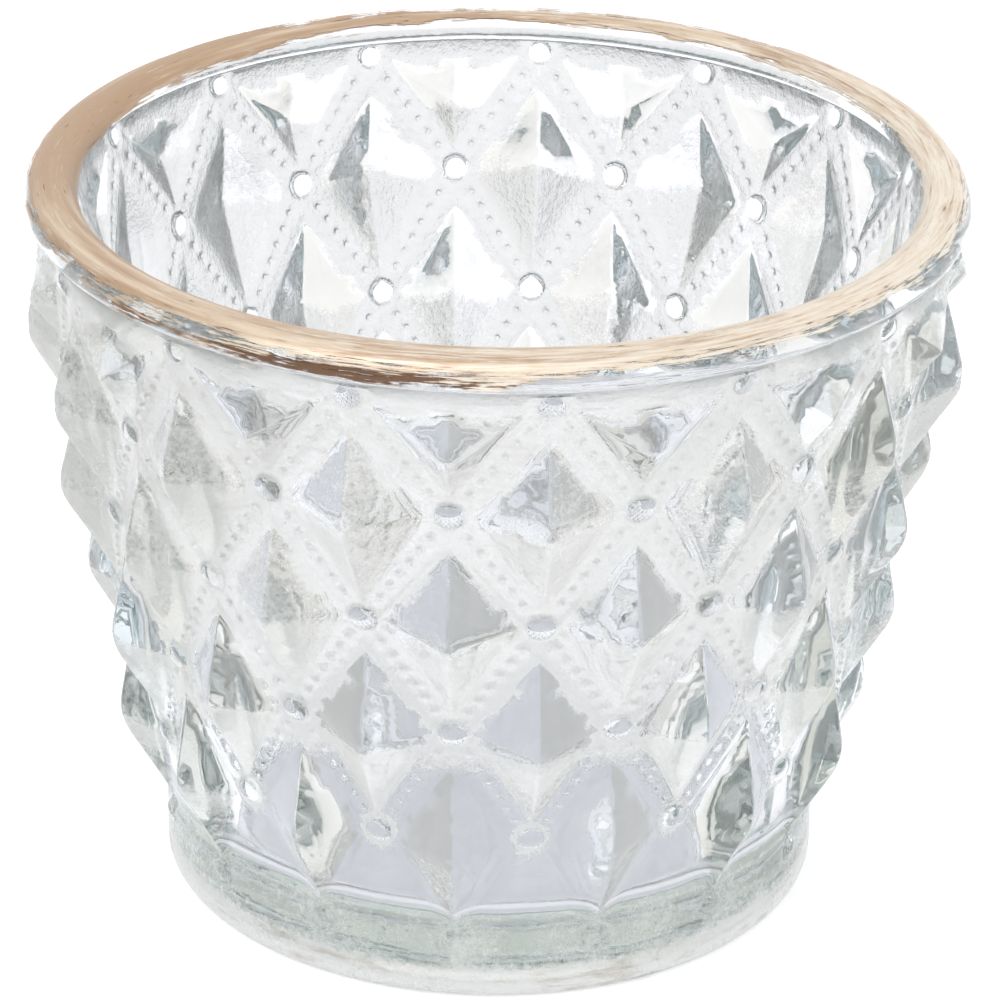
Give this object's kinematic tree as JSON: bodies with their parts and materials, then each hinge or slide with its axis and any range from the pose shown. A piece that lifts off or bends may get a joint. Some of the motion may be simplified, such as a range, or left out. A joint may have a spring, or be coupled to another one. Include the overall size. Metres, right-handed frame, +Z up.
{
  "type": "tealight holder",
  "caption": "Tapered pressed-glass tealight cup with a lattice of faceted diamonds and round studs outside, a smooth inside, a thick floor and a gilt painted lip.",
  "frame": {"origin": "centre of the ring that the cup stands on", "axes": "+Z up along the cup's axis; -Y is the front, where a stud of the top row stands"},
  "size_m": [0.09, 0.0901, 0.0725],
  "materials": {
    "glass": "clear pressed glass with a worn white wash in the pattern",
    "gilt": "brushed-on gold paint, satin, worn at its lower edge"
  },
  "bodies": {
    "root": {"glass_cup": "glass", "gilt_rim": "gilt"}
  },
  "joints": []
}
